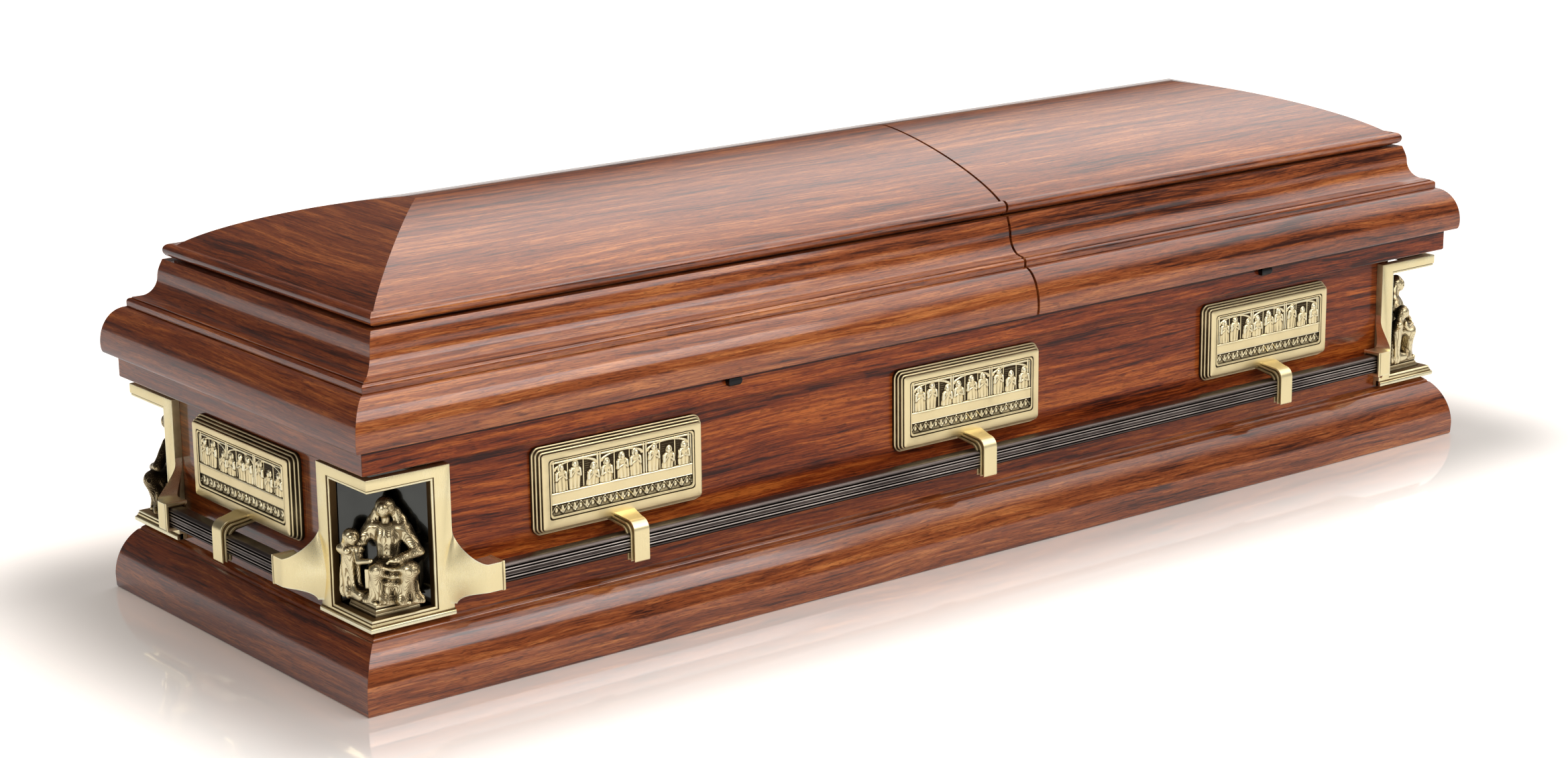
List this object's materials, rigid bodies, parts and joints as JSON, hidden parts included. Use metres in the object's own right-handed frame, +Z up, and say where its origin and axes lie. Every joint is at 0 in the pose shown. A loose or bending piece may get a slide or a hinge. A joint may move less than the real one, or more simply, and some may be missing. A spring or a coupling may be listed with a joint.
{
  "type": "wooden casket",
  "caption": "Full-size wooden casket with a split hinged pillow-top lid, moulded base, corner niches holding cast mourning figures, and carrying bars held by relief plaques.",
  "frame": {"origin": "middle of the footprint, on the floor, midway between the outermost points in X and in Y", "axes": "+X along the casket towards the end with the shorter lid half, -Y towards the front with the catches, +Z up"},
  "size_m": [2.068, 0.716, 0.5683],
  "materials": {
    "polished_wood": "high gloss lacquer over red-brown stained hardwood",
    "inner_wood": "plain planed, sealed",
    "brass_fittings": "satin brass with darkened hollows and bright edges",
    "cast_figures": "antique bronze-brass casting",
    "dark_bar": "dark bronze, satin",
    "niche_sheet": "dark, glossy"
  },
  "bodies": {
    "casket": {"base_moulding_front": "polished_wood", "base_moulding_back": "polished_wood", "base_moulding_left": "polished_wood", "base_moulding_right": "polished_wood", "floor_board": "inner_wood", "side_board_front": "polished_wood", "side_board_back": "polished_wood", "end_board_left": "polished_wood", "end_board_right": "polished_wood", "top_rail_front": "polished_wood", "top_rail_back": "polished_wood", "top_rail_left": "polished_wood", "top_rail_right": "polished_wood", "corner_post_front_left": "polished_wood", "corner_post_front_right": "polished_wood", "corner_post_back_left": "polished_wood", "corner_post_back_right": "polished_wood", "niche_sheet_front_left": "niche_sheet", "niche_sheet_front_right": "niche_sheet", "niche_sheet_back_left": "niche_sheet", "niche_sheet_back_right": "niche_sheet", "bracket_front_left": "brass_fittings", "bracket_front_right": "brass_fittings", "bracket_back_left": "brass_fittings", "bracket_back_right": "brass_fittings", "figures_front_left": "cast_figures", "figures_front_right": "cast_figures", "figures_back_left": "cast_figures", "figures_back_right": "cast_figures", "plaque_front_left": "brass_fittings", "plaque_front_middle": "brass_fittings", "plaque_front_right": "brass_fittings", "plaque_back_left": "brass_fittings", "plaque_back_middle": "brass_fittings", "plaque_back_right": "brass_fittings", "plaque_left": "brass_fittings", "plaque_right": "brass_fittings", "bar_front": "dark_bar", "bar_back": "dark_bar", "bar_left": "dark_bar", "bar_right": "dark_bar", "hinge_left_fixed_leaf": "brass_fittings", "hinge_right_fixed_leaf": "brass_fittings"},
    "lid_left": {"lid_left_moulding_front": "polished_wood", "lid_left_moulding_back": "polished_wood", "lid_left_moulding_end": "polished_wood", "lid_left_crown": "polished_wood", "lid_left_crown_end": "polished_wood", "lid_left_header": "inner_wood", "hinge_left_lid_leaf": "brass_fittings"},
    "lid_right": {"lid_right_moulding_front": "polished_wood", "lid_right_moulding_back": "polished_wood", "lid_right_moulding_end": "polished_wood", "lid_right_crown": "polished_wood", "lid_right_crown_end": "polished_wood", "lid_right_header": "inner_wood", "hinge_right_lid_leaf": "brass_fittings"},
    "catch_left": {"catch_left": "dark_bar"},
    "catch_right": {"catch_right": "dark_bar"}
  },
  "joints": [
    {"name": "lid_left_hinge", "type": "hinge", "parent": "casket", "child": "lid_left", "pos_m": [-0.5, 0.3282, 0.3337], "axis": [-1, 0, 0], "range_deg": [0, 80]},
    {"name": "lid_right_hinge", "type": "hinge", "parent": "casket", "child": "lid_right", "pos_m": [0.55, 0.3282, 0.3337], "axis": [-1, 0, 0], "range_deg": [0, 80]},
    {"name": "catch_left_slide", "type": "slide", "parent": "casket", "child": "catch_left", "axis": [-1, 0, 0], "range_m": [0, 0.04]},
    {"name": "catch_right_slide", "type": "slide", "parent": "casket", "child": "catch_right", "axis": [-1, 0, 0], "range_m": [0, 0.04]}
  ]
}
